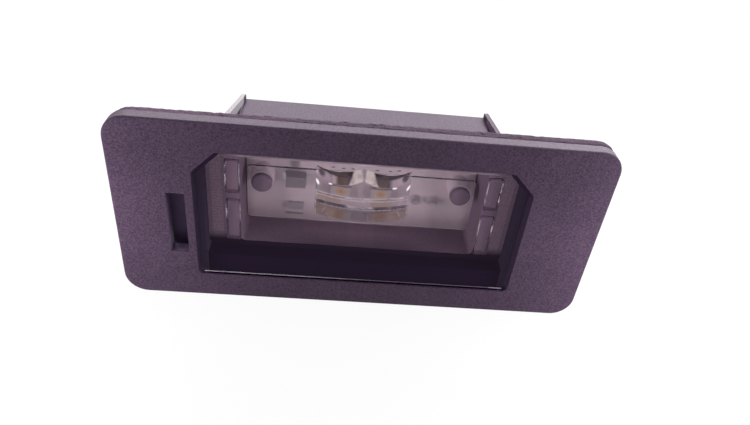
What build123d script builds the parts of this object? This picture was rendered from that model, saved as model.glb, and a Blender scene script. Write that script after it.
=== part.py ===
"""Number plate lamp: a clip-in lamp with a black housing, a flush clear cover and a small lit board.

X runs along the lamp, Z up its face, and Y from the lit face into the car. The origin is the middle of
the opening in the car's panel, on the plane where the foam seal meets the panel. Sizes are in millimetres.
"""
import os

from build123d import *

os.makedirs("parts", exist_ok=True)

# Flange, the plate that shows
flange_width = 92.0
flange_height = 39.6
flange_thickness = 2.5
flange_corner_radius = 4.4
flange_edge_radius = 0.4

# Foam seal between the flange and the panel
seal_thickness = 2.4
seal_inset = 0.4
seal_hook_clearance = 0.4
seal_collar_clearance = 0.6

# Window in the flange, with its two upper corners cut off
window_width = 62.6
window_height = 28.2
window_height_offset = -0.15
window_corner_cut = 4.35
window_corner_radius = 1.2

# Release slot beside the window
slot_width = 3.4
slot_height = 13.6
slot_to_window = 1.45
slot_height_offset = -2.0

# Clear cover
cover_recess = 0.4
cover_thickness = 2.6
cover_gap = 0.35
cover_edge_radius = 0.3
cover_bar_width = 2.6
cover_bar_reach = 1.2
cover_bar_spacing = 48.8
cover_upper_bar_height = 6.8
cover_lower_bar_height = 8.9
cover_bar_gap = 1.9
cover_bar_gap_offset = 3.55
cover_bar_edge = 0.25

# Chamber behind the cover
wall = 1.2
side_ledge = 1.5
upper_ledge = 1.5
lower_ledge = 3.95
chamber_depth = 3.4

# Rear box
box_width = 49.8
box_rear_width = 51.2
box_top = 13.3
box_bottom = -10.4
box_rear = 18.5
box_corner_radius = 1.0

# Snap arms at the ends of the rear box
arm_thickness = 0.9
arm_top = 14.3
arm_bottom = -13.4
arm_left_knee_spread = 2.4
arm_right_knee_spread = 1.6
arm_knee_depth = 8.6
arm_elbow_half_width = 34.6
arm_elbow_depth = 5.2
arm_bend_radius = 1.2
hook_bottom = -13.0
hook_top = 7.0
hook_barb = 2.7
hook_ramp = 3.6
panel_thickness = 2.0
panel_clearance = 0.15

# Circuit board and the pins that carry it
board_thickness = 1.6
board_clearance = 0.2
board_front = 10.1
stake_spacing = 39.8
stake_height = 2.2
stake_diameter = 2.4
stake_hole_clearance = 0.15
stake_boss_diameter = 5.2
stake_head_diameter = 4.1
stake_head_thickness = 0.9

# Inner optic, a clear plate with a light block over the two lamps
optic_standoff = 3.4
optic_plate_thickness = 0.6
optic_side_clearance = 0.9
optic_plate_top = 5.8
optic_plate_bottom = -6.6
optic_spacer_diameter = 4.6
optic_block_width = 18.4
optic_block_depth = 5.2
optic_front_radius = 22.0
optic_root_top = 5.3
optic_crown_depth = 1.9
optic_crest = 8.5
optic_valley = 7.3
optic_end = 8.2
optic_trim = 1.2
optic_crown_slope = 1.3
optic_upper_step_height = 3.2
optic_middle_step_height = 1.7
optic_lower_step_height = -1.5
optic_step_depth = 0.55

# Light emitting diodes
led_spacing = 6.8
led_height = -0.1
led_width = 3.5
led_tall = 2.8
led_thickness = 0.8
led_pool_diameter = 2.4
led_pool_depth = 0.4
led_fill_gap = 0.05
led_terminal_reach = 0.25
led_terminal_width = 2.2
led_terminal_thickness = 0.2

# Other components on the board
diode_x = -13.4
diode_z = 1.3
diode_length = 4.2
diode_width = 2.7
diode_thickness = 1.9
diode_standoff = 0.2
diode_foot_width = 1.5
diode_foot_length = 0.5
diode_draft = 4.0
resistor_x = -13.2
resistor_z = -5.2
resistor_length = 3.2
resistor_width = 1.6
resistor_thickness = 0.6
resistor_cap_length = 0.5
capacitor_x = 6.8
capacitor_z = -5.6
capacitor_length = 2.0
capacitor_width = 1.25
capacitor_thickness = 0.9
capacitor_cap_length = 0.4

# Socket and its two contacts
contact_spacing = 3.4
contact_x = 13.4
contact_z = -2.0
contact_width = 1.2
contact_thickness = 0.6
contact_fit = 0.02
contact_tip_chamfer = 0.2
contact_board_reach = 1.2
contact_hole_diameter = 1.6
socket_width = 9.4
socket_height = 5.6
socket_wall = 1.1
socket_corner_radius = 0.8
socket_floor_gap = 0.7
socket_floor = 1.2
socket_length = 4.1
socket_depth_past_tips = 4.2
latch_width = 3.4
latch_rise = 1.1
latch_length = 2.6
solder_base_diameter = 2.6
solder_top_diameter = 1.5
solder_height = 0.9

# Planes worked out from these, along Y
flange_back = -seal_thickness
face = flange_back - flange_thickness
cover_front = face + cover_recess
seat = cover_front + cover_thickness
chamber_back = seat + chamber_depth
chamber_rear = chamber_back + wall
box_inner_rear = box_rear - wall
board_rear = board_front + board_thickness
optic_rear = board_front - optic_standoff
optic_front = optic_rear - optic_plate_thickness
socket_floor_front = board_rear + socket_floor_gap
socket_floor_rear = socket_floor_front + socket_floor
socket_mouth = box_rear + socket_length
contact_tip = socket_mouth - socket_depth_past_tips
hook_catch = panel_thickness + panel_clearance

# Sizes across, worked out from the same values
window_half_width = window_width / 2
window_half_height = window_height / 2
chamber_half_width = window_half_width - side_ledge
chamber_top = window_height_offset + window_half_height - upper_ledge
chamber_bottom = window_height_offset - window_half_height + lower_ledge
box_inner_half_width = box_width / 2 - wall
box_inner_top = box_top - wall
box_inner_bottom = box_bottom + wall
hook_half_width = arm_elbow_half_width + arm_thickness / 2 + hook_barb
optic_plate_width = 2 * (box_inner_half_width - optic_side_clearance)
optic_step_heights = (optic_upper_step_height, optic_middle_step_height, optic_lower_step_height)
optic_bow = optic_front_radius - (optic_front_radius**2 - (optic_block_width / 2) ** 2) ** 0.5
slot_x = -(window_half_width + slot_to_window + slot_width / 2)
stake_places = [(-stake_spacing / 2, stake_height), (stake_spacing / 2, stake_height)]
contact_places = [(contact_x - contact_spacing / 2, contact_z), (contact_x + contact_spacing / 2, contact_z)]


def across(depth):
    """The plane parallel to the lit face at this depth, with X and Z as its own directions."""
    return Plane.XZ.offset(-depth)


def window_outline(depth, margin):
    """The window's outline on a plane across the lamp, moved outwards by a margin."""
    with BuildSketch(across(depth)) as outline:
        with Locations((0, window_height_offset)):
            Rectangle(window_width, window_height)
        chamfer(outline.vertices().group_by(Axis.Y)[-1], length=window_corner_cut)
        fillet(outline.vertices().group_by(Axis.Y)[0], radius=window_corner_radius)
        if margin:
            offset(amount=margin, kind=Kind.INTERSECTION)
    return outline.sketch


def span_outline(depth, left, right, bottom, top, radius):
    """A rounded rectangle on a plane across the lamp, given by its four sides."""
    with BuildSketch(across(depth)) as outline:
        with Locations(((left + right) / 2, (bottom + top) / 2)):
            RectangleRounded(right - left, top - bottom, radius)
    return outline.sketch


def write(builder, name):
    """Label a finished piece and write its file."""
    builder.part.label = name
    export_step(builder.part, f"parts/{name}.step")


def arm_leaf(side, knee_spread):
    """A snap arm's leaf seen from above, on side -1 or 1: it leaves the box's rear corner and flares out."""
    with BuildSketch(Plane.XY.offset(arm_bottom)) as leaf:
        with BuildLine():
            FilletPolyline(
                (side * (box_rear_width - arm_thickness) / 2, box_rear),
                (side * (box_width / 2 + knee_spread), arm_knee_depth),
                (side * arm_elbow_half_width, arm_elbow_depth),
                radius=arm_bend_radius,
            )
        trace(line_width=arm_thickness)
    return leaf.sketch


def arm_hook(side):
    """The hook on the end of a leaf, with its catch towards the flange and its ramp behind."""
    with BuildSketch(Plane.XY.offset(hook_bottom)) as hook:
        with BuildLine():
            Polyline(
                (side * (arm_elbow_half_width - arm_thickness / 2), hook_catch),
                (side * hook_half_width, hook_catch),
                (side * hook_half_width, hook_catch + arm_thickness),
                (side * (arm_elbow_half_width + arm_thickness / 2), hook_catch + hook_ramp),
                (side * (arm_elbow_half_width - arm_thickness / 2), arm_elbow_depth + arm_thickness / 2),
                close=True,
            )
        make_face()
    return hook.sketch


arm_sketches = [
    (arm_leaf(-1, arm_left_knee_spread), arm_hook(-1)),
    (arm_leaf(1, arm_right_knee_spread), arm_hook(1)),
]
chamber_outline = span_outline(
    seat,
    -chamber_half_width - wall,
    chamber_half_width + wall,
    chamber_bottom - wall,
    chamber_top + wall,
    window_corner_radius + wall,
)
chamber_hollow = span_outline(
    seat, -chamber_half_width, chamber_half_width, chamber_bottom, chamber_top, window_corner_radius
)
box_hollow = span_outline(
    chamber_back,
    -box_inner_half_width,
    box_inner_half_width,
    box_inner_bottom,
    box_inner_top,
    box_corner_radius,
)
socket_outline = span_outline(
    socket_floor_front,
    contact_x - socket_width / 2 - socket_wall,
    contact_x + socket_width / 2 + socket_wall,
    contact_z - socket_height / 2 - socket_wall,
    contact_z + socket_height / 2 + socket_wall,
    socket_corner_radius + socket_wall,
)
socket_hollow = span_outline(
    socket_floor_rear,
    contact_x - socket_width / 2,
    contact_x + socket_width / 2,
    contact_z - socket_height / 2,
    contact_z + socket_height / 2,
    socket_corner_radius,
)
window_pocket = window_outline(face, 0)
window_collar = window_outline(flange_back, wall)

with BuildPart() as box_shell:
    with BuildSketch(Plane.XY.offset(box_bottom)):
        with BuildLine():
            Polyline(
                (-box_width / 2, chamber_back),
                (box_width / 2, chamber_back),
                (box_rear_width / 2, box_rear),
                (-box_rear_width / 2, box_rear),
                close=True,
            )
        make_face()
    extrude(amount=box_top - box_bottom)
    long_edges = box_shell.edges().filter_by(Axis.X, reverse=True).filter_by(Axis.Z, reverse=True)
    fillet(long_edges, radius=box_corner_radius)

with BuildPart() as housing:
    with BuildSketch(across(face)):
        RectangleRounded(flange_width, flange_height, flange_corner_radius)
    extrude(amount=-flange_thickness)
    fillet(housing.faces().sort_by(Axis.Y)[0].edges(), radius=flange_edge_radius)
    extrude(window_collar, amount=-(seat + wall - flange_back))
    extrude(chamber_outline, amount=-(chamber_rear - seat))
    add(box_shell.part)

    # Leaf and hook of each snap arm
    for leaf_sketch, hook_sketch in arm_sketches:
        extrude(leaf_sketch, amount=arm_top - arm_bottom, dir=(0, 0, 1))
        extrude(hook_sketch, amount=hook_top - hook_bottom, dir=(0, 0, 1))

    # Window pocket, chamber, inside of the box and release slot
    extrude(window_pocket, amount=-(seat - face), mode=Mode.SUBTRACT)
    extrude(chamber_hollow, amount=-(chamber_back - seat), mode=Mode.SUBTRACT)
    extrude(box_hollow, amount=-(box_inner_rear - chamber_back), mode=Mode.SUBTRACT)
    with BuildSketch(across(face)):
        with Locations((slot_x, slot_height_offset)):
            Rectangle(slot_width, slot_height)
    extrude(amount=-flange_thickness, mode=Mode.SUBTRACT)

    # Bosses behind the board, their pins and the flattened heads that hold board and optic
    with BuildSketch(across(box_inner_rear)):
        with Locations(*stake_places):
            Circle(stake_boss_diameter / 2)
    extrude(amount=box_inner_rear - board_rear)
    with BuildSketch(across(board_rear)):
        with Locations(*stake_places):
            Circle(stake_diameter / 2)
    extrude(amount=board_rear - optic_front)
    with BuildSketch(across(optic_front)):
        with Locations(*stake_places):
            Circle(stake_head_diameter / 2)
    extrude(amount=stake_head_thickness)
    head_rims = housing.edges().filter_by(GeomType.CIRCLE)
    fillet(
        head_rims.filter_by_position(
            Axis.Y, optic_front - stake_head_thickness, optic_front - stake_head_thickness
        ),
        radius=stake_head_thickness / 2,
    )

    # Socket for the car's plug, with a ramp that the plug latches on
    extrude(socket_outline, amount=-(socket_mouth - socket_floor_front))
    extrude(socket_hollow, amount=-(socket_mouth - socket_floor_rear), mode=Mode.SUBTRACT)
    with BuildSketch(across(socket_floor_front)):
        with Locations(*contact_places):
            Rectangle(contact_width + 2 * contact_fit, contact_thickness + 2 * contact_fit)
    extrude(amount=-socket_floor, mode=Mode.SUBTRACT)
    with BuildSketch(Plane.YZ.offset(contact_x - latch_width / 2)):
        with BuildLine():
            Polyline(
                (socket_mouth, contact_z + socket_height / 2 + socket_wall),
                (socket_mouth - latch_length, contact_z + socket_height / 2 + socket_wall),
                (socket_mouth - latch_length, contact_z + socket_height / 2 + socket_wall + latch_rise),
                close=True,
            )
        make_face()
    extrude(amount=latch_width)
write(housing, "housing")

seal_opening_half_width = hook_half_width + seal_hook_clearance
seal_opening_half_height = window_half_height + wall + seal_collar_clearance
with BuildPart() as panel_seal:
    with BuildSketch(across(flange_back)):
        RectangleRounded(
            flange_width - 2 * seal_inset,
            flange_height - 2 * seal_inset,
            flange_corner_radius - seal_inset,
        )
        RectangleRounded(
            2 * seal_opening_half_width,
            2 * seal_opening_half_height,
            window_corner_radius + wall,
            mode=Mode.SUBTRACT,
        )
    extrude(amount=-seal_thickness)
write(panel_seal, "panel_seal")

cover_outline = window_outline(cover_front, -cover_gap)
bar_columns = (-cover_bar_spacing / 2, cover_bar_spacing / 2)
upper_bar_middle = cover_bar_gap_offset + (cover_bar_gap + cover_upper_bar_height) / 2
lower_bar_middle = cover_bar_gap_offset - (cover_bar_gap + cover_lower_bar_height) / 2
with BuildPart() as cover_lens:
    extrude(cover_outline, amount=-cover_thickness)
    fillet(cover_lens.faces().sort_by(Axis.Y)[0].edges(), radius=cover_edge_radius)
    with BuildSketch(across(seat)):
        for column in bar_columns:
            with Locations((column, upper_bar_middle)):
                Rectangle(cover_bar_width, cover_upper_bar_height)
            with Locations((column, lower_bar_middle)):
                Rectangle(cover_bar_width, cover_lower_bar_height)
    extrude(amount=-cover_bar_reach)
    bar_ends = cover_lens.faces().group_by(Axis.Y)[-1]
    chamfer(bar_ends.edges(), length=cover_bar_edge)
write(cover_lens, "cover_lens")

with BuildPart() as inner_optic:
    with BuildSketch(across(optic_front)):
        with Locations((0, (optic_plate_top + optic_plate_bottom) / 2)):
            Rectangle(optic_plate_width, optic_plate_top - optic_plate_bottom)
    extrude(amount=-optic_plate_thickness)

    # Light block: three steps with bowed fronts, each a little further forward than the one above it
    for index, step_height in enumerate(optic_step_heights):
        reach = optic_block_depth + index * optic_step_depth
        step_top = optic_root_top if index == 0 else optic_step_heights[index - 1]
        with BuildSketch(Plane.XY.offset(step_height)):
            with BuildLine():
                ThreePointArc(
                    (-optic_block_width / 2, optic_front - reach + optic_bow),
                    (0, optic_front - reach),
                    (optic_block_width / 2, optic_front - reach + optic_bow),
                )
                Polyline(
                    (optic_block_width / 2, optic_front - reach + optic_bow),
                    (optic_block_width / 2, optic_front),
                    (-optic_block_width / 2, optic_front),
                    (-optic_block_width / 2, optic_front - reach + optic_bow),
                )
            make_face()
        extrude(amount=step_top - step_height)

    # Crown: a bowed wall on the block, with two hollows, one over each lamp, that meet in a ridge
    crown_front = optic_front - optic_block_depth
    with BuildSketch(Plane.XY.offset(optic_root_top)):
        with BuildLine():
            ThreePointArc(
                (-optic_block_width / 2, crown_front + optic_bow),
                (0, crown_front),
                (optic_block_width / 2, crown_front + optic_bow),
            )
            Line(
                (optic_block_width / 2, crown_front + optic_bow),
                (optic_block_width / 2, crown_front + optic_bow + optic_crown_depth),
            )
            ThreePointArc(
                (optic_block_width / 2, crown_front + optic_bow + optic_crown_depth),
                (0, crown_front + optic_crown_depth),
                (-optic_block_width / 2, crown_front + optic_bow + optic_crown_depth),
            )
            Line(
                (-optic_block_width / 2, crown_front + optic_bow + optic_crown_depth),
                (-optic_block_width / 2, crown_front + optic_bow),
            )
        make_face()
    extrude(amount=optic_crest - optic_root_top)
    with BuildSketch(across(optic_front)):
        with BuildLine():
            ThreePointArc(
                (-optic_block_width / 2, optic_end), (-optic_block_width / 4, optic_valley), (0, optic_crest)
            )
            ThreePointArc(
                (0, optic_crest), (optic_block_width / 4, optic_valley), (optic_block_width / 2, optic_end)
            )
            Polyline(
                (optic_block_width / 2, optic_end),
                (optic_block_width / 2, optic_crest + optic_trim),
                (-optic_block_width / 2, optic_crest + optic_trim),
                (-optic_block_width / 2, optic_end),
            )
        make_face()
    extrude(amount=optic_block_depth, mode=Mode.SUBTRACT)
    crown_edges = inner_optic.edges().filter_by_position(Axis.Z, optic_valley, optic_crest)
    chamfer(crown_edges.group_by(Axis.Y)[0], length=optic_crown_slope)

    # Spacers that stand on the board, and the holes for the housing's pins
    with BuildSketch(across(optic_rear)):
        with Locations(*stake_places):
            Circle(optic_spacer_diameter / 2)
    extrude(amount=-optic_standoff)
    with BuildSketch(across(optic_front)):
        with Locations(*stake_places):
            Circle(stake_diameter / 2 + stake_hole_clearance)
    extrude(amount=-(board_front - optic_front), mode=Mode.SUBTRACT)
write(inner_optic, "inner_optic")

board_outline = span_outline(
    board_front,
    board_clearance - box_inner_half_width,
    box_inner_half_width - board_clearance,
    box_inner_bottom + board_clearance,
    box_inner_top - board_clearance,
    box_corner_radius,
)
with BuildPart() as circuit_board:
    extrude(board_outline, amount=-board_thickness)
    with BuildSketch(across(board_front)):
        with Locations(*stake_places):
            Circle(stake_diameter / 2 + stake_hole_clearance)
        with Locations(*contact_places):
            Circle(contact_hole_diameter / 2)
    extrude(amount=-board_thickness, mode=Mode.SUBTRACT)
write(circuit_board, "circuit_board")

for side, led_x in (("left", -led_spacing / 2), ("right", led_spacing / 2)):
    with BuildPart() as led_package:
        with BuildSketch(across(board_front)):
            with Locations((led_x, led_height)):
                Rectangle(led_width, led_tall)
        extrude(amount=led_thickness)
        with BuildSketch(across(board_front - led_thickness)):
            with Locations((led_x, led_height)):
                Circle(led_pool_diameter / 2)
        extrude(amount=-led_pool_depth, mode=Mode.SUBTRACT)
    write(led_package, f"led_package_{side}")

    with BuildPart() as led_phosphor:
        with BuildSketch(across(board_front - led_thickness + led_pool_depth)):
            with Locations((led_x, led_height)):
                Circle(led_pool_diameter / 2)
        extrude(amount=led_pool_depth - led_fill_gap)
    write(led_phosphor, f"led_phosphor_{side}")

    with BuildPart() as led_terminals:
        with BuildSketch(across(board_front)):
            for end in (-1, 1):
                with Locations((led_x + end * (led_width + led_terminal_reach) / 2, led_height)):
                    Rectangle(led_terminal_reach, led_terminal_width)
        extrude(amount=led_terminal_thickness)
    write(led_terminals, f"led_terminals_{side}")

with BuildPart() as diode_body:
    with BuildSketch(across(board_front - diode_standoff)):
        with Locations((diode_x, diode_z)):
            Rectangle(diode_length, diode_width)
    extrude(amount=diode_thickness, taper=diode_draft)
write(diode_body, "rectifier_diode")

with BuildPart() as diode_feet:
    with BuildSketch(across(board_front)):
        for end in (-1, 1):
            with Locations((diode_x + end * diode_length / 2, diode_z)):
                Rectangle(2 * diode_foot_length, diode_foot_width)
    extrude(amount=diode_standoff)
write(diode_feet, "diode_feet")


def chip(name, x, z, length, width, thickness, cap):
    """A chip component lying on the board: its body, and the two metal caps on its ends."""
    with BuildPart() as body:
        with BuildSketch(across(board_front)):
            with Locations((x, z)):
                Rectangle(length - 2 * cap, width)
        extrude(amount=thickness)
    write(body, name)
    with BuildPart() as caps:
        with BuildSketch(across(board_front)):
            for end in (-1, 1):
                with Locations((x + end * (length - cap) / 2, z)):
                    Rectangle(cap, width)
        extrude(amount=thickness)
    write(caps, f"{name}_caps")


chip(
    "series_resistor",
    resistor_x,
    resistor_z,
    resistor_length,
    resistor_width,
    resistor_thickness,
    resistor_cap_length,
)
chip(
    "bypass_capacitor",
    capacitor_x,
    capacitor_z,
    capacitor_length,
    capacitor_width,
    capacitor_thickness,
    capacitor_cap_length,
)

for side, place in zip(("left", "right"), contact_places):
    with BuildPart() as contact:
        with BuildSketch(across(board_front - contact_board_reach)):
            with Locations(place):
                Rectangle(contact_width, contact_thickness)
        extrude(amount=-(contact_tip - board_front + contact_board_reach))
        chamfer(contact.faces().sort_by(Axis.Y)[-1].edges(), length=contact_tip_chamfer)
    write(contact, f"contact_{side}")

solder_planes = [across(board_front) * Pos(*place) for place in contact_places]
with BuildPart() as solder_joints:
    with Locations(*solder_planes):
        Cone(
            solder_base_diameter / 2,
            solder_top_diameter / 2,
            solder_height,
            align=(Align.CENTER, Align.CENTER, Align.MIN),
        )
    with BuildSketch(across(board_front)):
        with Locations(*contact_places):
            Rectangle(contact_width, contact_thickness)
    extrude(amount=solder_height, mode=Mode.SUBTRACT)
write(solder_joints, "solder_joints")
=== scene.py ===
# %% [markdown]
# # A number plate lamp, finished for the camera
# The lamp clips into a car's rear panel: a black moulded frame, a clear cover let into it, and behind the
# cover a pale board with two light emitting diodes under a clear light block. The CAD model already holds
# every solid in its place. This lesson dresses those solids: it gives each one its real finish, builds the
# few pieces whose shape is softer than CAD can say, and lights the whole as a product photograph is lit.

import bpy
import numpy as np
from mathutils import Matrix, Vector


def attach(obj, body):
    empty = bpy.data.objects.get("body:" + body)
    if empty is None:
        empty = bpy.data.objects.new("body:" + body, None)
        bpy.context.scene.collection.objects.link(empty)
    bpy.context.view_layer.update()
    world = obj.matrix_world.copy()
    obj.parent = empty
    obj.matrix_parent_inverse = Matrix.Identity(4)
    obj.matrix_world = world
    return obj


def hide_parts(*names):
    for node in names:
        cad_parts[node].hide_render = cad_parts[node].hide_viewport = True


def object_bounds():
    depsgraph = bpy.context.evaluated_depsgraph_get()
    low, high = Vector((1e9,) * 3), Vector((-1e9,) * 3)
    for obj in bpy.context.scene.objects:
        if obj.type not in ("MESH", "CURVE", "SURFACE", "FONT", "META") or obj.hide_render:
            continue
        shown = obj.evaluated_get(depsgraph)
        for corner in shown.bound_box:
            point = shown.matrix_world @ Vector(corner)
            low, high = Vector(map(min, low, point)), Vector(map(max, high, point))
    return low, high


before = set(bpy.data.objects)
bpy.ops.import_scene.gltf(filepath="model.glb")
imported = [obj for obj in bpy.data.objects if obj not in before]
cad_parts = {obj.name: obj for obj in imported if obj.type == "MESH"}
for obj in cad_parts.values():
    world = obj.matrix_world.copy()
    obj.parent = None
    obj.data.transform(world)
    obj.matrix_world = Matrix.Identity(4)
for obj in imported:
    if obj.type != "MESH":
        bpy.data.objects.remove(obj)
cad_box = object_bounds()
MM = 0.001
print("CAD nodes:", len(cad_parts), "box:", cad_box)

# %% [markdown]
# ## The camera
# The photograph was taken close up, about twelve centimetres away and from above, so the lamp's far edge is
# plainly smaller than its near edge. A camera that is merely pointed at the lamp would miss that. Its place,
# its direction and its lens were worked out from the corners of the flange and of the window, and are written
# here as found.

# %% Place the camera
PICTURE_WIDTH = 750
FOCAL_PIXELS = 631.0
SENSOR_MM = 36.0
camera_place = Vector((-6.0, -100.8, 71.9)) * MM
camera_forward = Vector((0.0705, 0.8121, -0.5786)).normalized()
camera_right = Vector((0.995, -0.019, 0.097))

camera_up = camera_right.cross(camera_forward).normalized()
camera_right = camera_forward.cross(camera_up)
camera_data = bpy.data.cameras.new("camera")
camera_data.sensor_width = SENSOR_MM
camera_data.lens = FOCAL_PIXELS * SENSOR_MM / PICTURE_WIDTH
camera_data.clip_start = 0.005
camera = bpy.data.objects.new("camera", camera_data)
turn = Matrix((camera_right, camera_up, -camera_forward)).transposed().to_4x4()
camera.matrix_world = Matrix.Translation(camera_place) @ turn
bpy.context.scene.collection.objects.link(camera)
bpy.context.scene.camera = camera
bpy.context.scene.view_settings.view_transform = "Standard"
print("lens", round(camera_data.lens, 1), "mm")

# %% [markdown]
# ## Shader maths
# A finish is a small calculation at each point of a surface. Blender does it with nodes, which are slow to
# read as code, so one class stands for the output of a node: adding or multiplying two of them adds the Math
# node that does it, and `add` puts in any other node by its type, its settings and what goes into its
# sockets.


# %% A socket that can be calculated with
class Signal:
    """One output of a node. Operators add Math nodes; add() adds any other node of the same material."""

    def __init__(self, tree, socket=None):
        self.tree = tree
        self.socket = socket

    def add(self, kind, settings=None, inputs=None, out=0):
        """A new node of this type: settings are set first, then inputs take values or other signals."""
        node = self.tree.nodes.new(kind)
        for name, value in (settings or {}).items():
            setattr(node, name, value)
        for name, value in (inputs or {}).items():
            if isinstance(value, Signal):
                self.tree.links.new(value.socket, node.inputs[name])
            else:
                node.inputs[name].default_value = value
        return Signal(self.tree, node.outputs[out] if node.outputs else None)

    def sibling(self, out):
        """Another output of the node that this signal comes from."""
        return Signal(self.tree, self.socket.node.outputs[out])

    def math(self, operation, *values):
        """A Math node: this signal and the values are its inputs, in order."""
        inputs = dict(enumerate((self, *values)))
        return self.add("ShaderNodeMath", {"operation": operation}, inputs)

    def __add__(self, other):
        return self.math("ADD", other)

    def __sub__(self, other):
        return self.math("SUBTRACT", other)

    def __rsub__(self, other):
        return self.add("ShaderNodeMath", {"operation": "SUBTRACT"}, {0: other, 1: self})

    def __mul__(self, other):
        return self.math("MULTIPLY", other)

    def __truediv__(self, other):
        return self.math("DIVIDE", other)

    def __abs__(self):
        return self.math("ABSOLUTE")

    __radd__ = __add__
    __rmul__ = __mul__


def blend(factor, first, second):
    """A mix of two colours: the first where factor is 0, the second where it is 1."""
    return factor.add("ShaderNodeMix", {"data_type": "RGBA"}, {0: factor, 6: first, 7: second}, out=2)


def rise(signal, low, high):
    """0 up to low, 1 from high on, and a straight line between them; falls where high is below low."""
    return signal.add("ShaderNodeMapRange", inputs={"Value": signal, "From Min": low, "From Max": high})


def within(signal, low, high):
    """1 between low and high, 0 elsewhere."""
    return signal.math("GREATER_THAN", low) * signal.math("LESS_THAN", high)


print("shader maths ready")


# %% Start a material
def start(name):
    """A new material, its Principled shader, and the place on the piece in millimetres as a vector. Where it glows
    it is only seen to glow: no light is searched for on it."""
    material = bpy.data.materials.new(name)
    material.use_nodes = True
    material.cycles.emission_sampling = "NONE"
    tree = material.node_tree
    shader = tree.nodes["Principled BSDF"]
    place = Signal(tree).add("ShaderNodeTexCoord", out="Object")
    millimetres = place.add("ShaderNodeVectorMath", {"operation": "SCALE"}, {0: place, "Scale": 1 / MM})
    return material, shader, millimetres


def along_axes(place):
    """The x, y and z of a place, as three signals."""
    x = place.add("ShaderNodeSeparateXYZ", inputs={0: place})
    return x, x.sibling(1), x.sibling(2)


def speckle(place, per_mm, detail=2.0, rough=0.5):
    """Noise with about this many grains to the millimetre, running from 0 to 1."""
    inputs = {"Vector": place, "Scale": per_mm, "Detail": detail, "Roughness": rough}
    return place.add("ShaderNodeTexNoise", inputs=inputs)


print("materials can be started")


# %% Fill in a material
def drive(shader, **links):
    """Link signals to a shader's sockets; an underscore in a name stands for a space."""
    for name, signal in links.items():
        signal.tree.links.new(signal.socket, shader.inputs[name.replace("_", " ")])


def fix(shader, **values):
    """Set a shader's own sockets to values that are the same all over the surface."""
    for name, value in values.items():
        shader.inputs[name.replace("_", " ")].default_value = value


def bump(height, strength, distance_mm):
    """A Bump node's normal, from a height between 0 and 1 that stands for this many millimetres."""
    inputs = {"Height": height, "Strength": strength, "Distance": distance_mm * MM}
    return height.add("ShaderNodeBump", inputs=inputs)


def result(shader):
    """What a shader node gives out."""
    return Signal(shader.id_data, shader.outputs[0])


def layered(share, first, second):
    """A Mix Shader: the first shader where share is 0, the second where it is 1."""
    return first.add("ShaderNodeMixShader", inputs={0: share, 1: first, 2: second})


def show(material, seen):
    """Make this shader the one that the material shows."""
    tree = material.node_tree
    tree.links.new(seen.socket, tree.nodes["Material Output"].inputs["Surface"])


def wear(material, *nodes):
    """Give CAD nodes this material in all their slots."""
    for node in nodes:
        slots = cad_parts[node].data.materials
        slots.clear()
        slots.append(material)


print("materials can be filled in")


# %% Areas on a surface
def oval(x, z, middle, halves=(1.0, 1.0), power=2.0):
    """0 in the middle of an oval and 1 on its rim: the distances along x and z, each divided by its half size, to
    this power, and added. A power of 4 gives a bar with rounded corners."""
    across = ((x - middle[0]) / halves[0]).math("POWER", power)
    return across + ((z - middle[1]) / halves[1]).math("POWER", power)


def region(axes, x_mm, y_mm, z_mm):
    """1 in the box between these limits along x, y and z, 0 outside it."""
    x, y, z = axes
    return within(x, *x_mm) * within(y, *y_mm) * within(z, *z_mm)


print("areas can be marked")


# %% [markdown]
# ## Surfaces from grids
# A moulded or cut piece is nearly always an outline carried along something. As numbers that is a grid of
# points: one row for each place along the way, one column for each point of the outline. The helpers below
# number the quads of such a grid, round off an outline's corners, and hang the finished mesh on the lamp.


# %% Grids and outlines
def quads(rows, columns, ring_of_rows=False):
    """Corner numbers of the quads of a grid whose rows close on themselves; the last row may meet the first."""
    row = np.arange(rows if ring_of_rows else rows - 1)[:, None] * columns
    next_row = (row + columns) % (rows * columns)
    column = np.arange(columns)[None, :]
    beside = (column + 1) % columns
    corners = (row + column, row + beside, next_row + beside, next_row + column)
    return np.stack(corners, axis=-1).reshape(-1, 4)


def capped_tube(rows, columns):
    """Faces of a tube whose rows close on themselves, with a flat cap on each end."""
    last = (rows - 1) * columns
    return [*quads(rows, columns).tolist(), range(columns)[::-1], range(last, last + columns)]


def grid_points(x, y, z):
    """The points of a grid from three arrays, each stretched to the size of the largest."""
    return np.stack(np.broadcast_arrays(x, y, z), axis=-1)


def rounded_outline(half_width, half_height, radius, corner, side):
    """Points round a rectangle: quarter circles at the corners, then even steps along the side that follows.
    Every outline with the same counts pairs up point by point with the others."""
    angle = (np.arange(4)[:, None] + np.linspace(0, 1, corner)[None, :]) * np.pi / 2
    across = (half_width - radius) * np.array([1, -1, -1, 1])[:, None]
    upward = (half_height - radius) * np.array([1, 1, -1, -1])[:, None]
    arcs = np.stack((across + radius * np.cos(angle), upward + radius * np.sin(angle)), axis=-1)
    share = np.linspace(0, 1, side + 2)[1:-1][None, :, None]
    runs = arcs[:, -1:] * (1 - share) + np.roll(arcs, -1, axis=0)[:, :1] * share
    return np.concatenate((arcs, runs), axis=1).reshape(-1, 2)


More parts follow.
